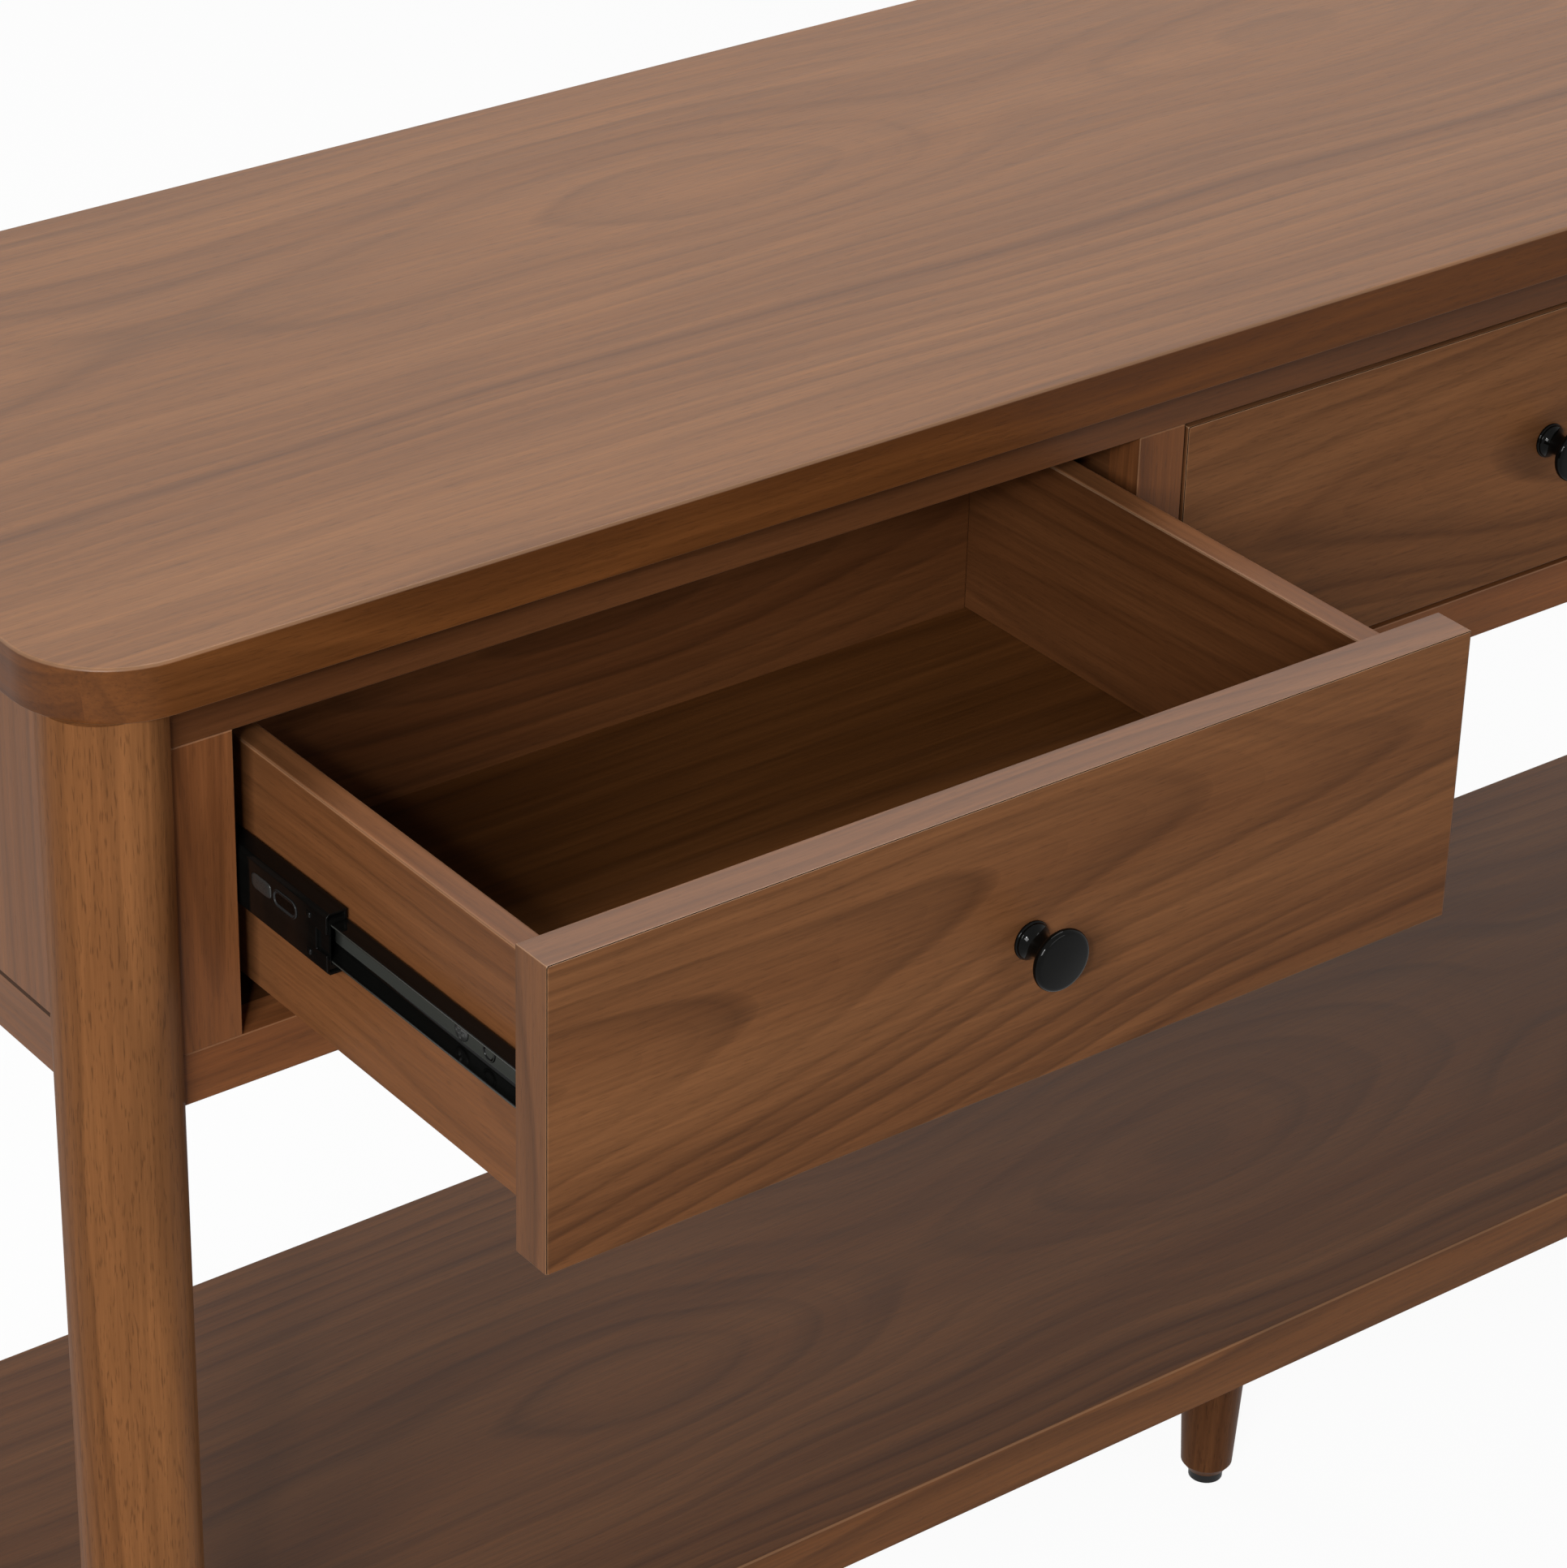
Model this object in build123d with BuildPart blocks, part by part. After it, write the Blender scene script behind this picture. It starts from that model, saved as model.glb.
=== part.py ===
from build123d import *
import os
from math import sqrt

# A console table with a row of inset drawers on three-section slides, round legs, a lower shelf
# and a turned foot under the middle of the shelf. The origin is on the floor under the middle of
# the table, +X is to the right, -Y to the front and +Z up. All sizes are in millimetres.

os.makedirs("parts", exist_ok=True)

# Top
table_height = 770
top_depth = 361
top_thickness = 22
top_corner_radius = 42
top_overhang = 4
top_arris = 1

# Legs, foot and glides
leg_diameter = 47.5
foot_diameter = 26.5
foot_chamfer_width = 3.6
foot_chamfer_height = 5
glide_diameter = 17.6
glide_height = 5

# Lower shelf
shelf_height = 233
shelf_thickness = 26.5
shelf_past_leg_axis = 5
shelf_leg_gap = 0.1
shelf_arris = 0.8

# Face frame, panels, bottom board and dividers
drawer_count = 3
stile_width = 24
end_stile_width = 25.8
top_rail_height = 25
bottom_rail_height = 22
frame_thickness = 18
frame_arris = 0.4
panel_thickness = 12
side_rail_height = 25
joint_line_chamfer = 1
bearer_height = 60
bearer_leg_gap = 2
bottom_board_thickness = 12

# Tenons on the rails and panels, and loose tenons between the other pieces
tenon_thickness = 7
tenon_length = 12
tenon_shoulder = 4
tenon_gap = 0.15
loose_tenon_width = 14
loose_tenon_thickness = 10
loose_tenon_length = 40
loose_tenon_in_panel = 14
loose_tenon_in_shelf_edge = 22

# Drawers
front_width = 423
front_height = 125
front_thickness = 18.5
front_arris = 0.5
reveal = 2
box_wall = 12
box_drop = 13.5
box_lift = 10
box_back_space = 27
box_arris = 0.8
bottom_thickness = 5
bottom_rise = 10.5
groove_depth = 5
groove_gap = 0.2
left_drawer_open = 194.5

# Knobs
knob_diameter = 25
knob_base_diameter = 15.8
knob_base_thickness = 1.8
knob_neck_diameter = 9.6
knob_neck_length = 13.7
knob_head_thickness = 4.6

# Slides
slide_thickness = 13
slide_height = 35
slide_sheet = 1.1
slide_bend = 1.4
race_step = 4.7
race_gap = 0.4
cabinet_rail_depth = 9.6
middle_rail_setback = 2.3
middle_rail_depth = 8.9
drawer_rail_depth = 8.3
slide_setback = 3
slide_end_gap = 10
slide_lift = 3
middle_rail_share = 0.4
middle_notch_height = 9
middle_notch_length = 7
stop_length = 12
stop_plate_length = 9
stop_plate_thickness = 0.8

# Legs, and the flat seats on them where rails and panels meet the round face
leg_radius = leg_diameter / 2
leg_y = top_depth / 2 - top_overhang - leg_radius
frame_seat = sqrt(leg_radius**2 - (frame_thickness / 2) ** 2)
panel_seat = sqrt(leg_radius**2 - (panel_thickness / 2) ** 2)

# Drawer bays, spread evenly about the middle of the table
bay_width = front_width + 2 * reveal
bay_height = front_height + 2 * reveal
bay_pitch = bay_width + stile_width
bay_centres = [(i - (drawer_count - 1) / 2) * bay_pitch for i in range(drawer_count)]
divider_centres = [(a + b) / 2 for a, b in zip(bay_centres, bay_centres[1:])]
frame_half_length = bay_centres[-1] + bay_width / 2 + end_stile_width
leg_x = frame_half_length + frame_seat
leg_places = [(sx * leg_x, sy * leg_y) for sy in (-1, 1) for sx in (-1, 1)]
top_length = 2 * (leg_x + leg_radius + top_overhang)

# Heights of the frame and the shelf
top_underside = table_height - top_thickness
bay_top = top_underside - top_rail_height
bay_bottom = bay_top - bay_height
apron_bottom = bay_bottom - bottom_rail_height
apron_height = top_underside - apron_bottom
apron_middle = (top_underside + apron_bottom) / 2
side_joint = apron_bottom + side_rail_height
shelf_underside = shelf_height - shelf_thickness
shelf_middle = shelf_height - shelf_thickness / 2
tenon_spans = [
    (bay_top + tenon_shoulder, top_underside - tenon_shoulder),
    (apron_bottom + tenon_shoulder, bay_bottom - tenon_shoulder),
]

# Depths of the frame and its panels
frame_front = -leg_y - frame_thickness / 2
frame_back = -leg_y + frame_thickness / 2
panel_face = leg_y - panel_thickness / 2
panel_half_length = leg_x - panel_seat
side_half_length = leg_y - panel_seat
bearing_depth = panel_face - frame_back
bearing_middle = (panel_face + frame_back) / 2
bearer_thickness = end_stile_width - bearer_leg_gap
board_half_length = frame_half_length - bearer_leg_gap
divider_height = top_underside - bay_bottom

# Drawer boxes, when closed
front_top = bay_top - reveal
front_bottom = front_top - front_height
box_front = frame_front + front_thickness
box_back = panel_face - box_back_space
box_half_width = bay_width / 2 - slide_thickness
box_inner_half = box_half_width - box_wall
box_top = front_top - box_drop
box_bottom = front_bottom + box_lift
box_middle_z = (box_top + box_bottom) / 2
floor_under = box_bottom + bottom_rise
floor_top = floor_under + bottom_thickness
groove_height = bottom_thickness + groove_gap
front_middle = (front_top + front_bottom) / 2
knob_head_start = knob_base_thickness + knob_neck_length

# Slides, when closed
slide_front = box_front + slide_setback
slide_back = box_back - slide_end_gap
slide_length = slide_back - slide_front
slide_z = box_middle_z + slide_lift
cabinet_half = slide_height / 2
middle_half = cabinet_half - race_step
drawer_half = middle_half - race_step
rail_lip = race_step - race_gap

# Mortises: each is larger than its tenon by the gap on every side
mortise_depth = tenon_length + tenon_gap
mortise_width = tenon_thickness + 2 * tenon_gap
loose_tenon = (loose_tenon_width, loose_tenon_thickness)
loose_mortise = (loose_tenon_width + 2 * tenon_gap, loose_tenon_thickness + 2 * tenon_gap)
mortise_in_panel = loose_tenon_in_panel + tenon_gap
mortise_in_shelf_edge = loose_tenon_in_shelf_edge + tenon_gap
mortise_in_leg_top = loose_tenon_length - loose_tenon_in_panel + tenon_gap
mortise_in_leg_side = loose_tenon_length - loose_tenon_in_shelf_edge + tenon_gap

on_base = (Align.CENTER, Align.CENTER, Align.MIN)
under_base = (Align.CENTER, Align.CENTER, Align.MAX)
back_of_front = (Align.CENTER, Align.MIN, Align.CENTER)


def keep(piece, name):
    """Label a finished piece and write it under its own name."""
    piece.part.label = name
    export_step(piece.part, f"parts/{name}.step")


def inward(value):
    """The direction from one side of the table towards its middle."""
    return -1 if value > 0 else 1


def shelf_joint_plane(x, y):
    """The plane on a leg's round face at mid shelf height that looks at the middle of the table."""
    reach = leg_radius / sqrt(2)
    origin = (x + inward(x) * reach, y + inward(y) * reach, shelf_middle)
    return Plane(origin, x_dir=(inward(y), -inward(x), 0), z_dir=(inward(x), inward(y), 0))


def turned_outline(x, y, straight_top):
    """Half outline of a leg or foot: chamfered end, taper up to the shelf, and a straight part above."""
    foot_radius = foot_diameter / 2
    outline = [
        (0, glide_height),
        (foot_radius - foot_chamfer_width, glide_height),
        (foot_radius, glide_height + foot_chamfer_height),
        (leg_radius, shelf_underside),
    ]
    if straight_top > shelf_underside:
        outline.append((leg_radius, straight_top))
    with BuildSketch(Plane((x, y, 0), x_dir=(1, 0, 0), z_dir=(0, -1, 0))) as profile:
        with BuildLine():
            Polyline(*outline, (0, straight_top), close=True)
        make_face()
    return profile.sketch


def rail_section(web_x, depth, half_height, lip, rear):
    """Section of a bent slide rail at its rear end: web, two flanges and, where given, lips on them."""
    edge_x = web_x + depth
    bend_x = web_x + (slide_bend if depth > 0 else -slide_bend)
    high = slide_z + half_height
    low = slide_z - half_height
    with BuildSketch(Plane.XZ.offset(-rear)) as section:
        with BuildLine():
            upper = [(edge_x, high), (bend_x, high), (web_x, high - slide_bend)]
            Polyline(*upper, (web_x, low + slide_bend), (bend_x, low), (edge_x, low))
            if lip > 0:
                Line((edge_x, high - lip), (edge_x, high))
                Line((edge_x, low), (edge_x, low + lip))
            offset(amount=slide_sheet, side=Side.LEFT if depth > 0 else Side.RIGHT)
        make_face()
    return section.sketch


# Top: a slab with round corners in plan and eased edges, mortised from below for the legs
with BuildPart() as top:
    with BuildSketch(Plane.XY.offset(top_underside)):
        RectangleRounded(top_length, top_depth, top_corner_radius)
    extrude(amount=top_thickness)
    chamfer(top.faces().sort_by(Axis.Z)[-1].edges(), top_arris)
    with Locations([(x, y, top_underside) for x, y in leg_places]):
        Box(*loose_mortise, mortise_in_panel, align=on_base, mode=Mode.SUBTRACT)
keep(top, "top")

# Legs: turned, with a flat seat and mortises towards each neighbour, and for the top and shelf
for x, y in leg_places:
    in_x, in_y = inward(x), inward(y)
    seat = frame_seat if y < 0 else panel_seat
    with BuildPart() as leg:
        revolve(turned_outline(x, y, top_underside), axis=Axis((x, y, 0), (0, 0, 1)))
        with Locations((x + in_x * (seat + leg_radius / 2), y, apron_middle)):
            Box(leg_radius, leg_diameter, apron_height, mode=Mode.SUBTRACT)
        with Locations((x, y + in_y * (panel_seat + leg_radius / 2), apron_middle)):
            Box(leg_diameter, leg_radius, apron_height, mode=Mode.SUBTRACT)
        for low, high in tenon_spans:
            span = high - low + 2 * tenon_gap
            with Locations((x + in_x * (seat - mortise_depth / 2), y, (low + high) / 2)):
                Box(mortise_depth, mortise_width, span, mode=Mode.SUBTRACT)
            with Locations((x, y + in_y * (panel_seat - mortise_depth / 2), (low + high) / 2)):
                Box(mortise_width, mortise_depth, span, mode=Mode.SUBTRACT)
        with Locations((x, y, top_underside)):
            Box(*loose_mortise, mortise_in_leg_top, align=under_base, mode=Mode.SUBTRACT)
        with Locations(shelf_joint_plane(x, y)):
            Box(*loose_mortise, mortise_in_leg_side, align=under_base, mode=Mode.SUBTRACT)
    keep(leg, f"{'front' if y < 0 else 'back'}_{'left' if x < 0 else 'right'}_leg")

# Shelf: its corners are scribed round the legs, with mortises for them and for the foot
with BuildPart() as shelf:
    with BuildSketch(Plane.XY.offset(shelf_underside)):
        Rectangle(2 * (leg_x + shelf_past_leg_axis), 2 * (leg_y + shelf_past_leg_axis))
        with Locations(leg_places):
            Circle(leg_radius + shelf_leg_gap, mode=Mode.SUBTRACT)
    extrude(amount=shelf_thickness)
    chamfer(shelf.faces().sort_by(Axis.Z)[-1].edges().filter_by(GeomType.LINE), shelf_arris)
    with Locations([shelf_joint_plane(x, y) for x, y in leg_places]):
        Box(*loose_mortise, 2 * mortise_in_shelf_edge, mode=Mode.SUBTRACT)
    with Locations((0, 0, shelf_underside)):
        Box(*loose_mortise, mortise_in_panel, align=on_base, mode=Mode.SUBTRACT)
keep(shelf, "shelf")

# Foot under the middle of the shelf, turned like the lower ends of the legs
with BuildPart() as foot:
    revolve(turned_outline(0, 0, shelf_underside), axis=Axis.Z)
    with Locations((0, 0, shelf_underside)):
        Box(*loose_mortise, mortise_in_leg_top, align=under_base, mode=Mode.SUBTRACT)
keep(foot, "centre_foot")

# Glides: a round pad under each leg and the foot
with BuildPart() as glides:
    with Locations([(x, y, 0) for x, y in leg_places + [(0, 0)]]):
        Cylinder(glide_diameter / 2, glide_height, align=on_base)
keep(glides, "glides")

# Loose tenons: legs to top, foot to shelf, and legs to shelf
with BuildPart() as loose_tenons:
    with Locations([(x, y, top_underside + loose_tenon_in_panel) for x, y in leg_places]):
        Box(*loose_tenon, loose_tenon_length, align=under_base)
    with Locations((0, 0, shelf_underside + loose_tenon_in_panel)):
        Box(*loose_tenon, loose_tenon_length, align=under_base)
    with Locations([shelf_joint_plane(x, y).offset(loose_tenon_in_shelf_edge) for x, y in leg_places]):
        Box(*loose_tenon, loose_tenon_length, align=under_base)
keep(loose_tenons, "loose_tenons")

# Front rails, tenoned into the front legs
for name, low, high in (("top_rail", bay_top, top_underside), ("bottom_rail", apron_bottom, bay_bottom)):
    with BuildPart() as rail:
        with Locations((0, -leg_y, (low + high) / 2)):
            Box(2 * frame_half_length, frame_thickness, high - low)
            Box(2 * (frame_half_length + tenon_length), tenon_thickness, high - low - 2 * tenon_shoulder)
        chamfer(rail.faces().sort_by(Axis.Y)[0].edges().filter_by(Axis.X), frame_arris)
    keep(rail, name)

# Stiles between the rails: one at each end, and one between each two bays
end_stile_x = frame_half_length - end_stile_width / 2
stiles = [("left_end_stile", -end_stile_x, end_stile_width)]
stiles += [("right_end_stile", end_stile_x, end_stile_width)]
stiles += [(f"middle_stile_{i + 1}", x, stile_width) for i, x in enumerate(divider_centres)]
for name, x, width in stiles:
    with BuildPart() as stile:
        with Locations((x, -leg_y, (bay_top + bay_bottom) / 2)):
            Box(width, frame_thickness, bay_height)
        chamfer(stile.faces().sort_by(Axis.Y)[0].edges(), frame_arris)
    keep(stile, name)

# Side panels, and the rails below them, with a V-shaped joint line on the outer face
for side, sign in (("left", -1), ("right", 1)):
    outer = Axis((0, 0, 0), (sign, 0, 0))
    panel_tenon, rail_tenon = tenon_spans
    with BuildPart() as panel:
        with Locations((sign * leg_x, 0, (side_joint + top_underside) / 2)):
            Box(panel_thickness, 2 * side_half_length, top_underside - side_joint)
        chamfer(panel.faces().sort_by(outer)[-1].edges().sort_by(Axis.Z)[0], joint_line_chamfer)
        with Locations((sign * leg_x, 0, sum(panel_tenon) / 2)):
            Box(tenon_thickness, 2 * (side_half_length + tenon_length), panel_tenon[1] - panel_tenon[0])
    keep(panel, f"{side}_side_panel")
    with BuildPart() as rail:
        with Locations((sign * leg_x, 0, (apron_bottom + side_joint) / 2)):
            Box(panel_thickness, 2 * side_half_length, side_rail_height)
        chamfer(rail.faces().sort_by(outer)[-1].edges().sort_by(Axis.Z)[-1], joint_line_chamfer)
        with Locations((sign * leg_x, 0, sum(rail_tenon) / 2)):
            Box(tenon_thickness, 2 * (side_half_length + tenon_length), rail_tenon[1] - rail_tenon[0])
    keep(rail, f"{side}_side_rail")

# Back panel, tenoned into the back legs
with BuildPart() as back_panel:
    with Locations((0, leg_y, apron_middle)):
        Box(2 * panel_half_length, panel_thickness, apron_height)
    for low, high in tenon_spans:
        with Locations((0, leg_y, (low + high) / 2)):
            Box(2 * (panel_half_length + tenon_length), tenon_thickness, high - low)
keep(back_panel, "back_panel")

# Bottom board under the drawers, level with the bottom rail
with BuildPart() as bottom_board:
    with Locations((0, bearing_middle, bay_bottom)):
        Box(2 * board_half_length, bearing_depth, bottom_board_thickness, align=under_base)
keep(bottom_board, "bottom_board")

# Dividers between the bays, standing on the bottom board
for i, x in enumerate(divider_centres):
    with BuildPart() as divider:
        with Locations((x, bearing_middle, bay_bottom)):
            Box(stile_width, bearing_depth, divider_height, align=on_base)
    keep(divider, f"divider_{i + 1}")

# Bearers that carry the outermost slides behind the end stiles
for side, sign in (("left", -1), ("right", 1)):
    bearer_x = sign * (bay_centres[-1] + (bay_width + bearer_thickness) / 2)
    with BuildPart() as bearer:
        with Locations((bearer_x, bearing_middle, slide_z)):
            Box(bearer_thickness, bearing_depth, bearer_height)
    keep(bearer, f"{side}_slide_bearer")

# Drawers and their slides: the left drawer stands open as photographed, the others are closed
for i, centre in enumerate(bay_centres):
    drawer = f"drawer_{i + 1}"
    opened = left_drawer_open if i == 0 else 0
    face = frame_front - opened
    joint = box_front - opened
    rear = box_back - opened
    box_middle_y = (joint + rear) / 2
    groove_z = floor_under + groove_height / 2

    # Front: reaches past the box on all sides, and is grooved for the bottom
    with BuildPart() as front:
        with Locations((centre, (face + joint) / 2, front_middle)):
            Box(front_width, front_thickness, front_height)
        chamfer(front.faces().sort_by(Axis.Y)[0].edges(), front_arris)
        with Locations((centre, joint - groove_depth / 2, groove_z)):
            Box(2 * (box_inner_half + groove_depth), groove_depth, groove_height, mode=Mode.SUBTRACT)
    keep(front, f"{drawer}_front")

    # Sides: grooved for the bottom, with eased top edges
    for side, sign in (("left", -1), ("right", 1)):
        with BuildPart() as box_side:
            with Locations((centre + sign * (box_half_width - box_wall / 2), box_middle_y, box_middle_z)):
                Box(box_wall, rear - joint, box_top - box_bottom)
            chamfer(box_side.faces().sort_by(Axis.Z)[-1].edges().filter_by(Axis.Y), box_arris)
            with Locations((centre + sign * (box_inner_half + groove_depth / 2), box_middle_y, groove_z)):
                Box(groove_depth, rear - joint, groove_height, mode=Mode.SUBTRACT)
        keep(box_side, f"{drawer}_{side}_side")

    # Back: between the sides, standing on the bottom
    with BuildPart() as box_end:
        with Locations((centre, rear - box_wall / 2, (box_top + floor_top) / 2)):
            Box(2 * box_inner_half, box_wall, box_top - floor_top)
        chamfer(box_end.faces().sort_by(Axis.Z)[-1].edges().filter_by(Axis.X), box_arris)
    keep(box_end, f"{drawer}_back")

    # Bottom: a thin panel in the grooves, running out under the back
    floor_front = joint - groove_depth + groove_gap
    with BuildPart() as floor:
        with Locations((centre, (floor_front + rear) / 2, (floor_under + floor_top) / 2)):
            Box(2 * (box_inner_half + groove_depth - groove_gap), rear - floor_front, bottom_thickness)
    keep(floor, f"{drawer}_bottom")

    # Knob: turned, with a base disc, a neck and a broad flat head, at the middle of the front
    with BuildPart() as knob:
        with Locations(Plane((centre, face, front_middle), z_dir=(0, -1, 0))):
            Cylinder(knob_base_diameter / 2, knob_base_thickness, align=on_base)
            Cylinder(knob_neck_diameter / 2, knob_head_start, align=on_base)
        with Locations(Plane((centre, face - knob_head_start, front_middle), z_dir=(0, -1, 0))):
            Cylinder(knob_diameter / 2, knob_head_thickness, align=on_base)
    keep(knob, f"{drawer}_knob")

    # Cabinet rails: bent channels with in-turned lips, fixed to the bay's walls
    wall = centre - bay_width / 2
    bay_plane = Plane.YZ.offset(centre)
    with BuildPart() as cabinet_rails:
        section = rail_section(wall, cabinet_rail_depth, cabinet_half, rail_lip, slide_back)
        extrude(section, amount=slide_length)
        mirror(about=bay_plane)
    keep(cabinet_rails, f"{drawer}_cabinet_rails")

    # Middle rails: the same channel nested in the cabinet rails, with a notched front end
    trail = middle_rail_share * opened
    middle_front = slide_front - trail
    web_x = wall + middle_rail_setback
    with BuildPart() as middle_rails:
        section = rail_section(web_x, middle_rail_depth, middle_half, rail_lip, slide_back - trail)
        extrude(section, amount=slide_length)
        with BuildSketch(Plane((web_x, middle_front, slide_z), x_dir=(0, 1, 0), z_dir=(1, 0, 0))):
            Rectangle(2 * middle_notch_length, middle_notch_height)
        extrude(amount=slide_sheet, mode=Mode.SUBTRACT)
        mirror(about=bay_plane)
    keep(middle_rails, f"{drawer}_middle_rails")

    # End stops: a moulded clip inside the front end of each middle rail, clear of the drawer rail
    lug_low = drawer_half + race_gap
    lug_high = middle_half - slide_bend - slide_sheet
    with BuildPart() as stops:
        with BuildSketch(Plane.XZ.offset(-middle_front - stop_length)):
            with Locations((web_x + middle_rail_depth / 2, slide_z)):
                Rectangle(middle_rail_depth - 2 * slide_sheet, 2 * lug_high)
                Rectangle(middle_rail_depth, 2 * lug_low, mode=Mode.SUBTRACT)
        extrude(amount=stop_length)
        with Locations((web_x + slide_sheet + stop_plate_thickness / 2, middle_front, slide_z)):
            Box(stop_plate_thickness, stop_plate_length, 2 * lug_high, align=back_of_front)
        mirror(about=bay_plane)
    keep(stops, f"{drawer}_slide_stops")

    # Drawer rails: plain channels fixed to the box, open towards the bay's walls
    with BuildPart() as drawer_rails:
        rail_rear = slide_back - opened
        section = rail_section(wall + slide_thickness, -drawer_rail_depth, drawer_half, 0, rail_rear)
        extrude(section, amount=slide_length)
        mirror(about=bay_plane)
    keep(drawer_rails, f"{drawer}_drawer_rails")
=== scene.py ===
from math import radians

import bmesh
import bpy
import numpy as np
from mathutils import Matrix, Vector


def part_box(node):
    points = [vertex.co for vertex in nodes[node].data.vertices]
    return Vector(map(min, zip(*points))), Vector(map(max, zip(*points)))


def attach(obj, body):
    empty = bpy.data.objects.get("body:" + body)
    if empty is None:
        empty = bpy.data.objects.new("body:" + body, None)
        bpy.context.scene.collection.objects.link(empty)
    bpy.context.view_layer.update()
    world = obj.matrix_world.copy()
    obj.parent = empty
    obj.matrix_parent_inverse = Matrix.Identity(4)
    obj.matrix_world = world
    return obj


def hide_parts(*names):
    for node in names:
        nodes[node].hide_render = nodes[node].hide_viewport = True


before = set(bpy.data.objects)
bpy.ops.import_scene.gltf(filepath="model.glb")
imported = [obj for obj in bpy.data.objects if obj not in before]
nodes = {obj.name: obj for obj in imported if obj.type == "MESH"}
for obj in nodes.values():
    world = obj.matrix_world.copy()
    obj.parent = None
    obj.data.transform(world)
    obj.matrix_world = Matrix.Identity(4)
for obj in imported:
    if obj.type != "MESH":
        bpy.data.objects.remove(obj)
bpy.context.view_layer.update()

# Legs and middle foot
# Four legs and a short foot, turned from solid walnut and finished with a satin lacquer.
# The grain runs up the wood, so the growth rings show as long flames on the round faces.


def add(tree, kind, *inputs, **settings):
    """A new node with its settings and, in order, its inputs: a socket is linked, None is left as it is."""
    made = tree.nodes.new(kind)
    for name, value in settings.items():
        setattr(made, name, value)
    for socket, value in zip(made.inputs, inputs):
        if isinstance(value, bpy.types.NodeSocket):
            tree.links.new(value, socket)
        elif value is not None:
            socket.default_value = value
    return made


def sums(tree, operation, *inputs):
    """The result of a Math node."""
    return add(tree, "ShaderNodeMath", *inputs, operation=operation).outputs[0]


def stretched(tree, place, along, across):
    """The place multiplied so that a pattern is long along the grain and narrow across it."""
    scale = (along, across, across)
    return add(tree, "ShaderNodeVectorMath", place, scale, operation="MULTIPLY").outputs[0]


def clouds(tree, place, detail=2.0, roughness=0.5):
    """Noise between 0 and 1, about one cloud to each unit of the place."""
    return add(tree, "ShaderNodeTexNoise", place, None, 1.0, detail, roughness).outputs[0]


def ramp(tree, value, low, high, start=0.0, end=1.0):
    """The value carried from low..high to start..end, and held there."""
    return add(tree, "ShaderNodeMapRange", value, low, high, start, end).outputs[0]


def tinted(tree, mask, below, above, blend="MIX"):
    """Two colours mixed by a mask."""
    mix = add(tree, "ShaderNodeMix", data_type="RGBA", blend_type=blend)
    for index, value in ((0, mask), (6, below), (7, above)):
        if isinstance(value, bpy.types.NodeSocket):
            tree.links.new(value, mix.inputs[index])
        else:
            mix.inputs[index].default_value = value
    return mix.outputs[2]


def new_group(name, inputs, outputs):
    """A shader node group with named sockets, its tree, and the sockets it is given."""
    tree = bpy.data.node_groups.new(name, "ShaderNodeTree")
    for label, kind, value in inputs:
        socket = tree.interface.new_socket(label, in_out="INPUT", socket_type=kind)
        if value is not None:
            socket.default_value = value
    for label, kind in outputs:
        tree.interface.new_socket(label, in_out="OUTPUT", socket_type=kind)
    return tree, tree.nodes.new("NodeGroupInput").outputs


def put_out(tree, **values):
    """Link a group's results to its output sockets."""
    out = tree.nodes.new("NodeGroupOutput").inputs
    for label, value in values.items():
        tree.links.new(value, out[label])
    return tree


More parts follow.
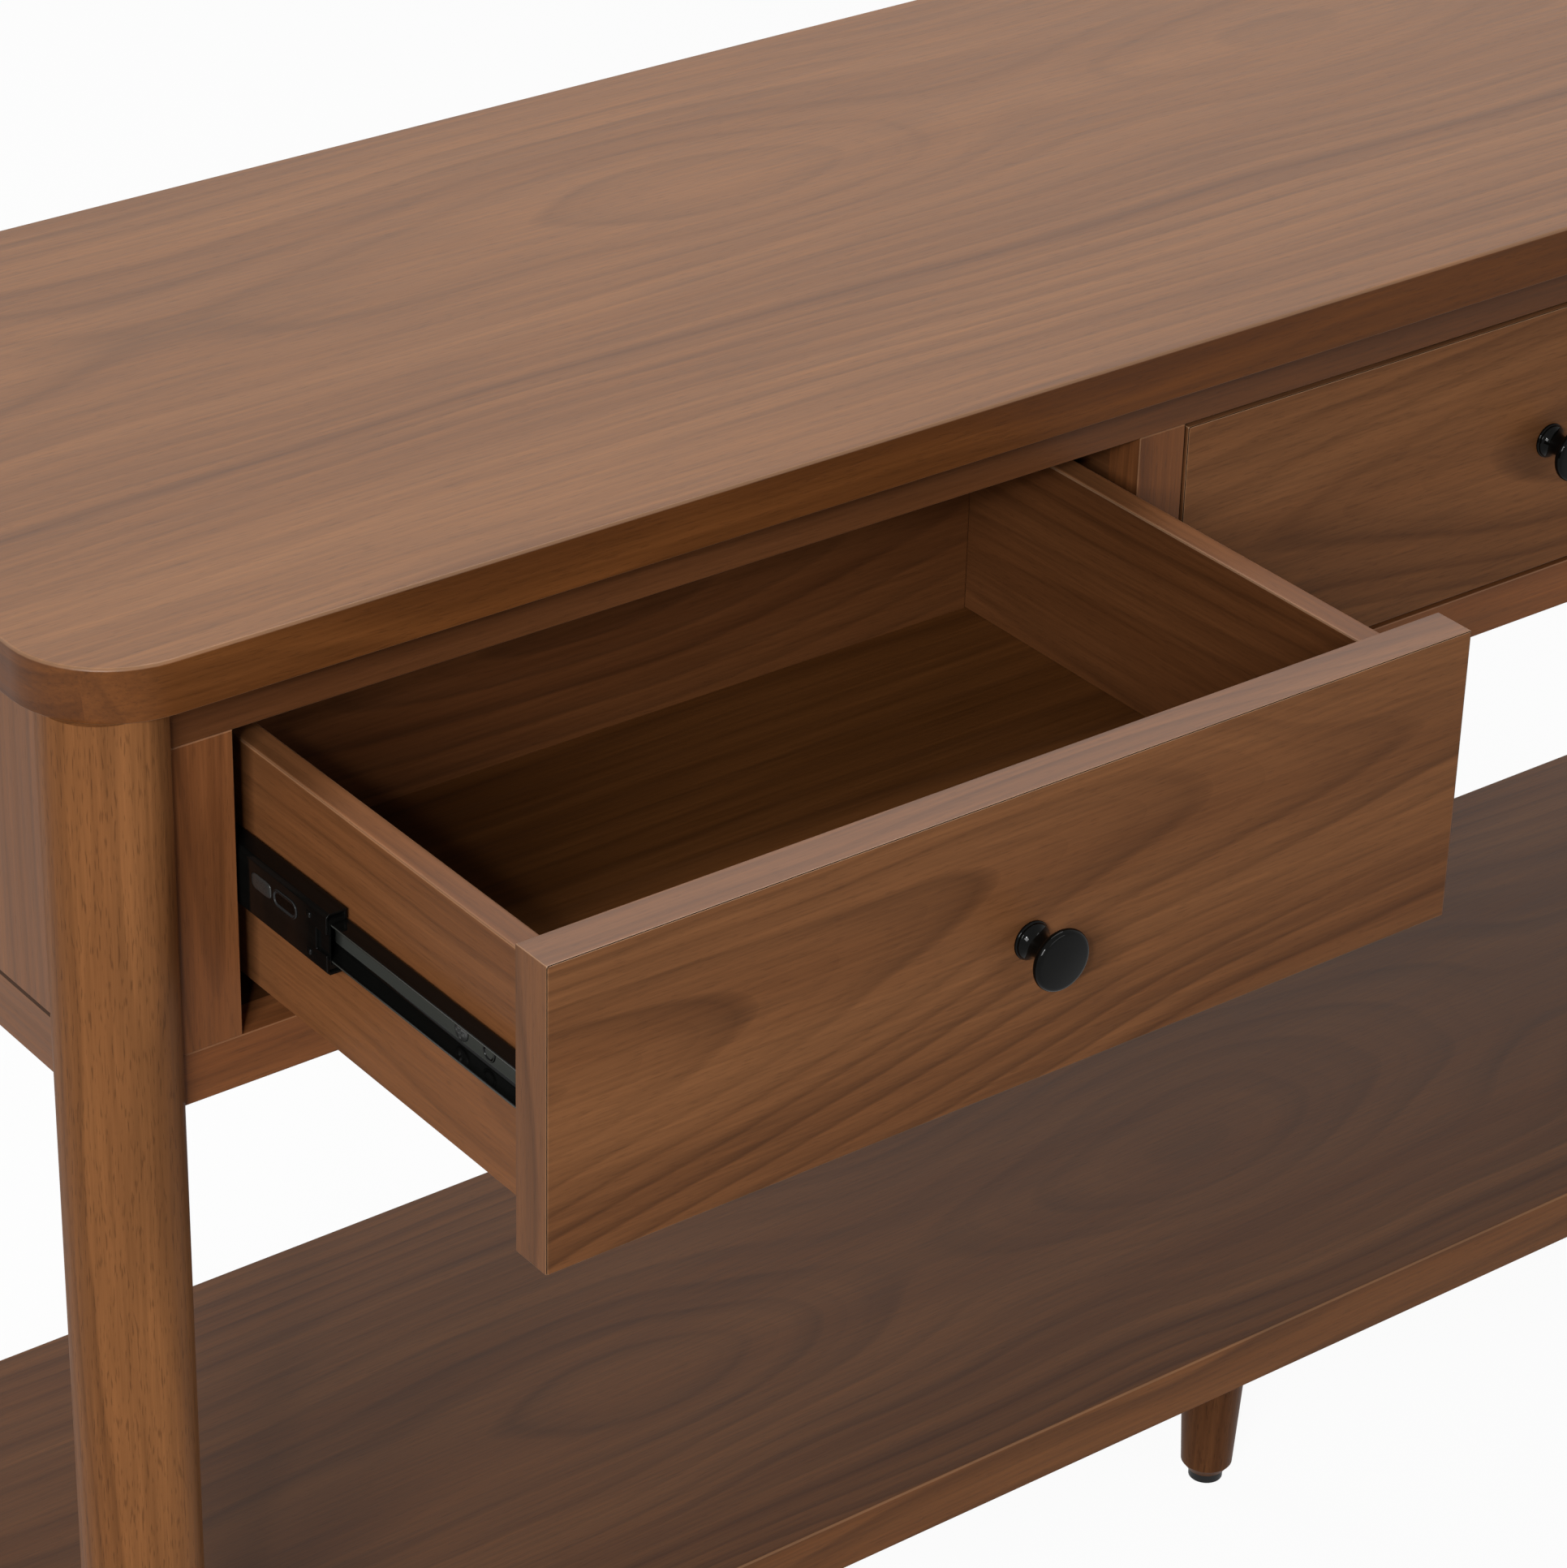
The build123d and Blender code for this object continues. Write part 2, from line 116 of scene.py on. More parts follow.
def walnut_figure():
    """Walnut in a trunk along X: rings about a wandering pith, broad streaks, fibres and open pores."""
    inputs = [
        ("Place", "NodeSocketVector", None),
        ("Ring spacing", "NodeSocketFloat", 0.012),
        ("Slant", "NodeSocketFloat", 0.0),
        ("Dive", "NodeSocketFloat", 0.0),
        ("Wander", "NodeSocketFloat", 0.03),
        ("Ring depth", "NodeSocketFloat", 0.5),
        ("Pore depth", "NodeSocketFloat", 0.2),
        ("Light wood", "NodeSocketColor", (0.23, 0.095, 0.037, 1)),
        ("Dark wood", "NodeSocketColor", (0.17, 0.064, 0.023, 1)),
    ]
    outputs = [("Color", "NodeSocketColor"), ("Roughness", "NodeSocketFloat"), ("Height", "NodeSocketFloat")]
    tree, given = new_group("walnut_figure", inputs, outputs)
    place = given["Place"]

    # The pith wanders slowly along the trunk, which draws the tongues and eyes of flat-sawn boards
    drift_scale, ripple_scale, ripple_reach = (2.6, 5.0), (6.0, 15.0), 0.008
    along, across, deep = add(tree, "ShaderNodeSeparateXYZ", place).outputs[:3]
    drift = clouds(tree, stretched(tree, place, *drift_scale), 1.0, 0.4)
    drift = sums(tree, "MULTIPLY", sums(tree, "SUBTRACT", drift, 0.5), given["Wander"])
    ripple = clouds(tree, stretched(tree, place, *ripple_scale), 1.5, 0.45)
    ripple = sums(tree, "MULTIPLY", sums(tree, "SUBTRACT", ripple, 0.5), ripple_reach)
    deep = sums(tree, "ADD", deep, drift)
    deep = sums(tree, "MULTIPLY_ADD", along, given["Slant"], deep)
    across = sums(tree, "MULTIPLY_ADD", along, given["Dive"], across)
    square = sums(tree, "MULTIPLY_ADD", across, across, sums(tree, "MULTIPLY", deep, deep))
    radius = sums(tree, "ADD", sums(tree, "SQRT", square), ripple)

    # Each ring darkens slowly towards its late wood and ends in a line, with fainter hair lines between,
    # and groups of rings are darker all through
    uneven_scale, uneven_shift, late_power, hairs_per_ring, bands_per_ring = (3.0, 22.0), 0.45, 3.0, 3.0, 0.55
    uneven = clouds(tree, stretched(tree, place, *uneven_scale), 1.0)
    count = sums(tree, "DIVIDE", radius, given["Ring spacing"])
    count = sums(tree, "MULTIPLY_ADD", uneven, uneven_shift, count)
    ring = sums(tree, "FRACT", count)
    late = sums(tree, "MULTIPLY", sums(tree, "POWER", ring, late_power), ramp(tree, ring, 1.0, 0.88))
    hair = sums(tree, "FRACT", sums(tree, "MULTIPLY", count, hairs_per_ring))
    hair = ramp(tree, hair, 0.55, 0.95, 0.0, 0.1)
    strong = ramp(tree, uneven, 0.3, 0.66, 0.25, 1.0)
    line = sums(tree, "MULTIPLY", sums(tree, "MULTIPLY_ADD", late, strong, hair), given["Ring depth"])
    years = sums(tree, "MULTIPLY", count, bands_per_ring)
    band = add(tree, "ShaderNodeTexNoise", None, years, 1.0, 2.0, 0.55, noise_dimensions="1D").outputs[0]
    heavy = sums(tree, "MULTIPLY", ramp(tree, band, 0.48, 0.72), ramp(tree, uneven, 0.25, 0.6, 0.3, 0.75))

    # Broad streaks, fine fibres and short dark pores, all drawn out along the grain
    streak_scale, fibre_scale, pore_scale = (1.6, 24.0), (16.0, 560.0), (130.0, 1400.0)
    streak = ramp(tree, clouds(tree, stretched(tree, place, *streak_scale), 3.0, 0.6), 0.3, 0.7)
    fibre = clouds(tree, stretched(tree, place, *fibre_scale), 3.0, 0.6)
    pores = ramp(tree, clouds(tree, stretched(tree, place, *pore_scale), 1.0), 0.58, 0.7)

    # Streaks and heavy bands first, then the ring lines, the tone of the fibres and the pores
    heavy_tint = (0.72, 0.7, 0.7, 1)
    line_brown = (0.03, 0.012, 0.005, 1)
    pore_brown = (0.035, 0.014, 0.006, 1)
    faint_fibre, full_fibre, smooth_rough, open_rough = 0.8, 1.18, 0.38, 0.5
    color = tinted(tree, streak, given["Light wood"], given["Dark wood"])
    color = tinted(tree, heavy, color, tinted(tree, 1.0, given["Dark wood"], heavy_tint, "MULTIPLY"))
    color = tinted(tree, line, color, line_brown)
    fibre_tone = ramp(tree, fibre, 0.25, 0.75, faint_fibre, full_fibre)
    fibre_color = add(tree, "ShaderNodeCombineColor", fibre_tone, fibre_tone, fibre_tone).outputs[0]
    color = tinted(tree, 1.0, color, fibre_color, "MULTIPLY")
    color = tinted(tree, sums(tree, "MULTIPLY", pores, given["Pore depth"]), color, pore_brown)

    rough = ramp(tree, fibre, 0.2, 0.8, smooth_rough, open_rough)
    height = sums(tree, "SUBTRACT", sums(tree, "MULTIPLY", fibre, 0.5), pores)
    return put_out(tree, Color=color, Roughness=rough, Height=height)


def face_lie():
    """How far a face looks up, left or right, how far it looks along each axis, and where it is an arris.

    An arris looks between two axes: its mask is one less the fourth powers of the three shares. A rim
    lies between a level face and an upright one, so a corner that is round in plan is no rim.
    """
    labels = ("Up", "Left", "Right", "X", "Y", "Z", "Arris", "Rim")
    outputs = [(label, "NodeSocketFloat") for label in labels]
    tree = new_group("face_lie", [], outputs)[0]
    normal = add(tree, "ShaderNodeNewGeometry").outputs["Normal"]
    shares = add(tree, "ShaderNodeSeparateXYZ", normal).outputs[:3]
    up = sums(tree, "MAXIMUM", shares[2], 0.0)
    right = sums(tree, "MAXIMUM", shares[0], 0.0)
    left = sums(tree, "SUBTRACT", right, shares[0])
    x, y, z = (sums(tree, "ABSOLUTE", share) for share in shares)
    x4, y4, z4 = (sums(tree, "POWER", share, 4.0) for share in (x, y, z))
    flat = sums(tree, "ADD", sums(tree, "ADD", x4, y4), z4)
    level = sums(tree, "SUBTRACT", sums(tree, "MULTIPLY", z, z), z4)
    arris = ramp(tree, flat, 0.92, 0.6)
    rim = ramp(tree, level, 0.03, 0.2)
    return put_out(tree, Up=up, Left=left, Right=right, X=x, Y=y, Z=z, Arris=arris, Rim=rim)


figure_group = walnut_figure()
lie_group = face_lie()
grain_turn = {"X": (0, 0, 0), "Y": (0, 0, radians(-90)), "Z": (0, radians(90), 0)}


def walnut(
    name, grain, pith, light, dark, spacing=0.009, slant=0.0, dive=0.0, wander=0.03, depth=0.5, pores=0.2,
    gloss=0.12, sheen_up=0.0, sheen_side=0.0, lipping=None, edge=None, highlight_and_joint=0.0, highlight_and_joint_at="Arris",
    highlight_and_joint_to=(0.62, 0.4, 0.24), shaded_inside=None,
):
    """Lacquered walnut with its grain along one axis and its pith where it is given in the turned place.

    The sheen is the coat on faces that look up or sideways, the lipping is the axis of the grain on the
    board's ends, the edge is the tint of faces that don't look up, and arrises are painted another colour:
    a paler one as a painted highlight, or a dark line along a V-joint.
    A board may be painted darker on the face that looks left or right: painted shade inside a drawer box.
    """
    end_offset, end_share = (0.37, 0.043, 0.061), 0.72
    painted_shade_tint = (0.5, 0.47, 0.44, 1)
    bump_strength, bump_height, coat_roughness = 0.12, 0.0004, 0.4
    material = bpy.data.materials.new(name)
    material.use_nodes = True
    tree = material.node_tree
    surface = tree.nodes["Principled BSDF"]
    object_place = add(tree, "ShaderNodeTexCoord").outputs["Object"]
    lie = add(tree, "ShaderNodeGroup", node_tree=lie_group).outputs
    offset = tuple(-value for value in pith)
    place = add(tree, "ShaderNodeMapping", object_place, offset, grain_turn[grain]).outputs[0]
    if lipping:
        end_place = add(tree, "ShaderNodeMapping", object_place, end_offset, grain_turn[lipping]).outputs[0]
        mix = add(tree, "ShaderNodeMix", data_type="VECTOR")
        tree.links.new(sums(tree, "GREATER_THAN", lie[grain], end_share), mix.inputs[0])
        tree.links.new(place, mix.inputs[4])
        tree.links.new(end_place, mix.inputs[5])
        place = mix.outputs[1]
    figure = add(tree, "ShaderNodeGroup", node_tree=figure_group)
    tree.links.new(place, figure.inputs["Place"])
    for socket, value in (
        ("Ring spacing", spacing), ("Slant", slant), ("Dive", dive), ("Wander", wander),
        ("Ring depth", depth), ("Pore depth", pores), ("Light wood", (*light, 1)), ("Dark wood", (*dark, 1)),
    ):
        figure.inputs[socket].default_value = value
    color = figure.outputs["Color"]
    # Painted shade: the face that looks into the drawer box is darkened.
    if shaded_inside:
        shade_tone = tinted(tree, 1.0, color, painted_shade_tint, "MULTIPLY")
        color = tinted(tree, ramp(tree, lie[shaded_inside], 0.6, 0.8), color, shade_tone)
    if edge:
        on_edge = tinted(tree, 1.0, color, (*edge, 1), "MULTIPLY")
        color = tinted(tree, ramp(tree, lie["Up"], 0.75, 0.95), on_edge, color)
    # Arrises: a paler colour as a painted highlight, or a dark line along a V-joint.
    if highlight_and_joint:
        color = tinted(tree, sums(tree, "MULTIPLY", lie[highlight_and_joint_at], highlight_and_joint), color, (*highlight_and_joint_to, 1))
    bump = add(tree, "ShaderNodeBump", bump_strength, bump_height)
    tree.links.new(figure.outputs["Height"], bump.inputs["Height"])
    tree.links.new(color, surface.inputs["Base Color"])
    tree.links.new(figure.outputs["Roughness"], surface.inputs["Roughness"])
    tree.links.new(bump.outputs["Normal"], surface.inputs["Normal"])
    surface.inputs["Specular IOR Level"].default_value = gloss
    if sheen_up or sheen_side:
        upper = sums(tree, "MULTIPLY", lie["Up"], sheen_up)
        coat = sums(tree, "MULTIPLY_ADD", lie["X"], sheen_side, upper)
        tree.links.new(coat, surface.inputs["Coat Weight"])
        surface.inputs["Coat Roughness"].default_value = coat_roughness
    return material


def finish(material, *names):
    """Give CAD nodes a material."""
    for name in names:
        for slot in nodes[name].material_slots:
            slot.material = material


leg_colors = (0.245, 0.101, 0.036), (0.195, 0.076, 0.0255)
# The foot's colours are darker than the legs' as painted shade: it stands under the shelf.
shaded_foot_colors = (0.145, 0.058, 0.0225), (0.105, 0.039, 0.0145)
legs = ("front_left_leg", "front_right_leg", "back_left_leg", "back_right_leg", "centre_foot")
for index, leg in enumerate(legs):
    low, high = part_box(leg)
    middle = (low + high) / 2
    pith = (0.43 * index, middle.y + 0.035, -middle.x + 0.02)
    light, dark = shaded_foot_colors if leg == "centre_foot" else leg_colors
    leg_walnut = walnut(
        f"{leg}_walnut", "Z", pith, light, dark, spacing=0.006, slant=0.03, depth=0.4, pores=0.4, gloss=0.05
    )
    finish(leg_walnut, leg)

# Glides
# Round pads of hard black plastic pinned under the legs and the foot, with a rounded lower edge.


def soften(width, *names):
    """Ease the sharp edges of CAD nodes, which arrive with each face cut free of its neighbours."""
    weld_distance, sharp_angle = 0.00002, radians(35)
    for name in names:
        weld = nodes[name].modifiers.new("joined_faces", "WELD")
        weld.merge_threshold = weld_distance
        bevel = nodes[name].modifiers.new("eased_edges", "BEVEL")
        bevel.width = width
        bevel.segments = 2
        bevel.limit_method = "ANGLE"
        bevel.angle_limit = sharp_angle
        nodes[name].modifiers.new("face_normals", "WEIGHTED_NORMAL")


def coated(name, grains, dark, light, rough, gloss=0.5, metal=0.0, flats=None):
    """An even coat with a fine speckle in its colour and roughness, in grains to the metre along each axis.

    Flats are the two shares of X between which a face turns flat, and the two colours of flat faces.
    """
    material = bpy.data.materials.new(name)
    material.use_nodes = True
    tree = material.node_tree
    surface = tree.nodes["Principled BSDF"]
    place = add(tree, "ShaderNodeTexCoord").outputs["Object"]
    place = add(tree, "ShaderNodeVectorMath", place, grains, operation="MULTIPLY").outputs[0]
    speckle = clouds(tree, place)
    color = tinted(tree, speckle, (*dark, 1), (*light, 1))
    if flats:
        start, end, flat_dark, flat_light = flats
        flat = ramp(tree, add(tree, "ShaderNodeGroup", node_tree=lie_group).outputs["X"], start, end)
        color = tinted(tree, flat, color, tinted(tree, speckle, (*flat_dark, 1), (*flat_light, 1)))
    tree.links.new(color, surface.inputs["Base Color"])
    tree.links.new(ramp(tree, speckle, 0.3, 0.7, *rough), surface.inputs["Roughness"])
    surface.inputs["Specular IOR Level"].default_value = gloss
    surface.inputs["Metallic"].default_value = metal
    return material


glide_edge = 0.0011
glide_plastic = coated(
    "glide_plastic", (900, 900, 900), (0.006, 0.006, 0.006), (0.014, 0.014, 0.014), (0.4, 0.55), gloss=0.2
)
finish(glide_plastic, "glides")
soften(glide_edge, "glides")

# Lower shelf
# A thick veneered board between the legs, with its corners scribed round them.
# Eyes and wide tongues show where the veneer leaf was cut flat through the rings.

low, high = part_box("shelf")
shelf_pith = (1.22, (low.y + high.y) / 2 - 0.02, low.z - 0.045)
# Painted shade: the shelf's colours are darkened for the shade under the top, and the edge tint lifts the
# faces that don't look up back to lighter wood, so the painted shade lies on the upper face.
shelf_shaded_light = (0.15, 0.0625, 0.024)
shelf_shaded_dark = (0.107, 0.0405, 0.0145)
shelf_edge_tint = (1.4, 1.4, 1.34)
# The shelf's arrises are painted paler as a painted highlight.
shelf_walnut = walnut(
    "shelf_walnut", "X", shelf_pith, shelf_shaded_light, shelf_shaded_dark, spacing=0.01, wander=0.15, depth=0.68,
    gloss=0.1, sheen_up=0.2, lipping="Y", edge=shelf_edge_tint, highlight_and_joint=0.12,
)
finish(shelf_walnut, "shelf")
shelf_arris = 0.0005
soften(shelf_arris, "shelf")

# Front frame
# Rails between the front legs and stiles between the rails, in solid walnut, flush at the front.

frame_light = np.array((0.215, 0.079, 0.027))
frame_dark = np.array((0.15, 0.051, 0.016))
# The top rail's tone is lowered as painted shade under the top's overhang; the bottom rail's is raised.
for rail, tone in (("top_rail", 0.52), ("bottom_rail", 1.2)):
    low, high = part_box(rail)
    pith = (0, high.y + 0.05, low.z - 0.02)
    # The rails' arrises are painted paler as a painted highlight.
    rail_walnut = walnut(
        f"{rail}_walnut", "X", pith, tone * frame_light, tone * frame_dark, spacing=0.007, sheen_up=0.5,
        highlight_and_joint=0.12,
    )
    finish(rail_walnut, rail)
stiles = (
    ("left_end_stile", 1.03), ("right_end_stile", 1.0), ("middle_stile_1", 0.8), ("middle_stile_2", 0.85),
)
for index, (stile, tone) in enumerate(stiles):
    low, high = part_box(stile)
    pith = (0.31 * index, high.y + 0.03, -(low.x + 0.01))
    # The stiles' arrises are painted paler as a painted highlight.
    stile_walnut = walnut(
        f"{stile}_walnut", "Z", pith, tone * frame_light, tone * frame_dark, spacing=0.006, dive=0.05,
        highlight_and_joint=0.12,
    )
    finish(stile_walnut, stile)

# Side panels, side rails and back
# Veneered boards between the legs; a fine V-joint parts each side panel from the rail below it.

side_light = (0.225, 0.095, 0.039)
side_dark = (0.165, 0.065, 0.025)
joint_dark = (0.02, 0.008, 0.003)
for along, side in ((0.3, "left"), (-0.2, "right")):
    low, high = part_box(f"{side}_side_panel")
    pith = (along, low.y + 0.1, -low.x + 0.04)
    panel_walnut = walnut(
        f"{side}_panel_walnut", "Z", pith, side_light, side_dark, sheen_side=0.08,
        highlight_and_joint=0.85, highlight_and_joint_at="Rim", highlight_and_joint_to=joint_dark,
    )
    finish(panel_walnut, f"{side}_side_panel")
    low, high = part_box(f"{side}_side_rail")
    pith = (along, -low.x + 0.04, low.z - 0.02)
    rail_walnut = walnut(
        f"{side}_rail_walnut", "Y", pith, side_light, side_dark, sheen_side=0.08,
        highlight_and_joint=0.85, highlight_and_joint_at="Rim", highlight_and_joint_to=joint_dark,
    )
    finish(rail_walnut, f"{side}_side_rail")
low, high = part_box("back_panel")
back_pith = (0, low.y - 0.06, low.z + 0.08)
finish(walnut("back_walnut", "X", back_pith, side_light, side_dark, wander=0.07), "back_panel")

# Bottom board, dividers, slide bearers and loose tenons
# Plain inner woodwork behind the frame, which closes the bays below, carries the slides
# and joins the legs to the boards.

# These colours are much darker than the frame's as painted shade inside the carcass.
inner_light = (0.1, 0.038, 0.0135)
inner_dark = (0.07, 0.025, 0.0085)
inner_walnut = walnut("inner_walnut", "Y", (0, 0.03, 0.6), inner_light, inner_dark)
finish(inner_walnut, "divider_1", "divider_2", "left_slide_bearer", "right_slide_bearer", "loose_tenons")
low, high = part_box("bottom_board")
finish(walnut("board_walnut", "X", (0, 0.02, low.z - 0.05), inner_light, inner_dark), "bottom_board")

# Top
# A veneered slab with round corners and eased edges, held on the legs by loose tenons.
# Its lacquer has more sheen than the fronts', and its edges are lipped in darker wood.

low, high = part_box("top")
top_pith = (1.3, 0.06, low.z - 0.04)
top_light = (0.25, 0.11, 0.0432)
top_dark = (0.196, 0.0825, 0.031)
top_edge_tint = (0.54, 0.42, 0.27)
# The top's rims are painted paler as a painted highlight.
top_walnut = walnut(
    "top_walnut", "X", top_pith, top_light, top_dark, spacing=0.0105, wander=0.14, depth=0.42, gloss=0.1,
    sheen_up=0.45, sheen_side=0.2, lipping="Y", edge=top_edge_tint, highlight_and_joint=0.16, highlight_and_joint_at="Rim",
)
finish(top_walnut, "top")
top_arris = 0.0006
soften(top_arris, "top")

# Slides
# Bent steel rails with a gloss black coat: one in the carcass, one between, and one screwed to the drawer.
# A slot, a bare pad and two dimples are pressed in the middle rail, and an eyelet in the drawer's one.
# The drawer rail's upright web is painted grey as a painted reflection.

merge_distance = 1e-7


def surface_mesh(name, points, seat=None):
    """A mesh from a grid of points, rows by columns, with its columns closed round and its poles merged.

    A seat is a point behind the first row, to which flat faces close the underside.
    """
    if seat is not None:
        points = np.concatenate([np.broadcast_to(seat, points[:1].shape), points])
    rows, columns = points.shape[:2]
    index = np.arange(rows * columns).reshape(rows, columns)
    following = np.roll(index, -1, 1)
    quads = np.stack([index[:-1], following[:-1], following[1:], index[1:]], -1).reshape(-1, 4)
    smooth = np.ones(len(quads), bool)
    if seat is not None:
        smooth[:columns] = False
    mesh = bpy.data.meshes.new(name)
    mesh.from_pydata(points.reshape(-1, 3).tolist(), [], quads.tolist())
    mesh.polygons.foreach_set("use_smooth", smooth)
    shell = bmesh.new()
    shell.from_mesh(mesh)
    bmesh.ops.remove_doubles(shell, verts=shell.verts, dist=merge_distance)
    bmesh.ops.recalc_face_normals(shell, faces=shell.faces)
    shell.to_mesh(mesh)
    shell.free()
    mesh.update()
    piece = bpy.data.objects.new(name, mesh)
    bpy.context.scene.collection.objects.link(piece)
    return piece


def facing(axis):
    """Two unit directions across an axis that runs along X or Y, and the axis itself."""
    axis = np.array(axis, float)
    side = np.cross((0, 0, 1.0), axis)
    return side, np.array((0, 0, 1.0)), axis


def rings(count):
    """Shares of the way from the edge of a round piece to its middle, and 64 turns about it, as two grids."""
    part = np.linspace(1, 0, count)
    turn = np.linspace(0, 2 * np.pi, 64, endpoint=False)
    return np.meshgrid(part, turn, indexing="ij")


seat_depth = 0.0003  # how far the underside of a head or a pressed mark reaches into the sheet


def screw_head(name, origin, axis, radius, height):
    """A domed head with a cross in it: the height is a parabola of the radius, less a cross of fixed depth.

    The cross is where the distance from either of two lines through the middle is under a set width.
    """
    bar_share, reach_share, rim_share, cross_share = 0.14, 0.62, 0.45, 0.75
    side, up, axis = facing(axis)
    part, turn = rings(22)
    u, v = radius * part * np.cos(turn), radius * part * np.sin(turn)
    bar = np.minimum(np.abs(u), np.abs(v)) < bar_share * radius
    reach = np.maximum(np.abs(u), np.abs(v)) < reach_share * radius
    dome = rim_share + (1 - rim_share) * (1 - part**2)
    rise = height * dome - cross_share * height * (bar & reach)
    rise[0] = 0.0
    points = np.array(origin) + u[..., None] * side + v[..., None] * up + rise[..., None] * axis
    return surface_mesh(name, points, np.array(origin) - seat_depth * axis)


def pressed_slot(name, origin, axis, length, width, rim):
    """A slot with a pressed rim: rounded ends along Y, and a half-round lip that falls to a flat floor."""
    lip_share, floor_share = 0.5, 0.08
    side, up, axis = facing(axis)
    turn = np.linspace(0, 2 * np.pi, 64, endpoint=False)
    straight = (length - width) / 2
    lip = np.linspace(0, np.pi, 9)
    inset = np.concatenate([rim * (1 - np.cos(lip)) / 2, np.linspace(rim, width / 2, 4)[1:]])
    rise = np.concatenate([rim * lip_share * np.sin(lip), np.full(3, rim * floor_share)])
    reach = width / 2 - inset
    u = reach[:, None] * np.cos(turn) + straight * np.sign(np.cos(turn))
    v = reach[:, None] * np.sin(turn)
    points = np.array(origin) + u[..., None] * side + v[..., None] * up + rise[:, None, None] * axis
    return surface_mesh(name, points, np.array(origin) - seat_depth * axis)


def pressed_pad(name, origin, axis, length, width, rise):
    """A flat pad pressed out of the rail, longer along Y: an oval of the fourth power, with steep sides.

    The height is one less the sixth power of the share of the way from the middle to the edge.
    """
    side, up, axis = facing(axis)
    part, turn = rings(16)
    oval = part / (np.cos(turn) ** 4 + np.sin(turn) ** 4) ** 0.25
    u, v = length / 2 * oval * np.cos(turn), width / 2 * oval * np.sin(turn)
    height = rise * (1 - part**6)
    points = np.array(origin) + u[..., None] * side + v[..., None] * up + height[..., None] * axis
    return surface_mesh(name, points, np.array(origin) - seat_depth * axis)


rolled_marks = (700, 8, 700)
rail_colors = (0.002, 0.002, 0.0018), (0.005, 0.005, 0.0045)
rail_rough = (0.06, 0.12)
rail_gloss = 0.14
# Painted reflection: faces that look along X on the drawer rails are painted grey, as if mirroring the floor.
reflection_web = (0.93, 0.99, (0.042, 0.044, 0.039), (0.0525, 0.055, 0.04875))
slide_black = coated("slide_black", rolled_marks, *rail_colors, rail_rough, gloss=rail_gloss)
slide_painted_reflection = coated("slide_painted_reflection", rolled_marks, *rail_colors, rail_rough, gloss=rail_gloss, flats=reflection_web)

# The slot's lip is painted grey as a painted highlight, and its floor nearly black as painted shade in the
# hole.
lip_highlight_grey = (0.02, 0.02, 0.02)
hole_shade_floor = (0.9, 0.995, (0.001, 0.001, 0.001), (0.003, 0.0025, 0.002))
slot_dark = coated(
    "slot_dark", (1500, 1500, 1500), lip_highlight_grey, lip_highlight_grey, (0.2, 0.35), gloss=0.1, flats=hole_shade_floor
)
screw_zinc = coated(
    "screw_zinc", (2200, 2200, 2200), (0.022, 0.023, 0.022), (0.06, 0.06, 0.057), (0.25, 0.4), metal=0.4
)

drawers = ("drawer_1", "drawer_2", "drawer_3")
rail_depth = 0.0083
rail_sheet = 0.0011
rail_arris = 0.0003
pressed_rim = 0.001
pressed_rise = 0.0007
slot_back, slot_lift, slot_length, slot_width = 0.0275, 0.004, 0.0162, 0.0076
pad_back, pad_length, pad_width = 0.0435, 0.0135, 0.0066
dimple_back, dimple_lift, dimple_length, dimple_width = 0.0118, 0.0077, 0.0034, 0.0024
eyelet_back, eyelet_length, eyelet_width = 0.0275, 0.0078, 0.0074
screw_drop, screw_radius, screw_height = 0.0016, 0.004, 0.0013
screw_backs = (("front", 0.0443), ("rear", 0.19))
for drawer in drawers:
    finish(slide_black, f"{drawer}_cabinet_rails", f"{drawer}_middle_rails", f"{drawer}_slide_stops")
    finish(slide_painted_reflection, f"{drawer}_drawer_rails")
    soften(rail_arris, f"{drawer}_cabinet_rails", f"{drawer}_middle_rails", f"{drawer}_drawer_rails")
    for side, sign in (("left", -1), ("right", 1)):
        low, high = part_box(f"{drawer}_middle_rails")
        middle = (low + high) / 2
        web = low.x if sign < 0 else high.x
        outwards = (sign, 0, 0)
        slot_place = (web, low.y + slot_back, middle.z + slot_lift)
        slot = pressed_slot(
            f"{drawer}_{side}_rail_slot", slot_place, outwards, slot_length, slot_width, pressed_rim
        )
        slot.data.materials.append(slot_dark)
        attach(slot, f"{drawer}_slide_middles")
        pad_place = (web, low.y + pad_back, middle.z + slot_lift)
        pad = pressed_pad(
            f"{drawer}_{side}_rail_pad", pad_place, outwards, pad_length, pad_width, pressed_rise
        )
        pad.data.materials.append(screw_zinc)
        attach(pad, f"{drawer}_slide_middles")
        for tier, lift in (("upper", dimple_lift), ("lower", -dimple_lift)):
            dimple_place = (web, low.y + dimple_back, middle.z + lift)
            dimple = pressed_pad(
                f"{drawer}_{side}_{tier}_dimple", dimple_place, outwards, dimple_length, dimple_width,
                pressed_rise,
            )
            dimple.data.materials.append(slide_black)
            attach(dimple, f"{drawer}_slide_middles")
        low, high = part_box(f"{drawer}_drawer_rails")
        middle = (low + high) / 2
        web = (low.x if sign < 0 else high.x) - sign * (rail_depth - rail_sheet)
        screw_level = middle.z - screw_drop
        eyelet_place = (web, low.y + eyelet_back, screw_level)
        eyelet = pressed_slot(
            f"{drawer}_{side}_rail_eyelet", eyelet_place, outwards, eyelet_length, eyelet_width, pressed_rim
        )
        eyelet.data.materials.append(slide_painted_reflection)
        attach(eyelet, drawer)
        for end, back in screw_backs:
            screw_place = (web, low.y + back, screw_level)
            screw = screw_head(
                f"{drawer}_{side}_{end}_rail_screw", screw_place, outwards, screw_radius, screw_height
            )
            screw.data.materials.append(screw_zinc)
            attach(screw, drawer)
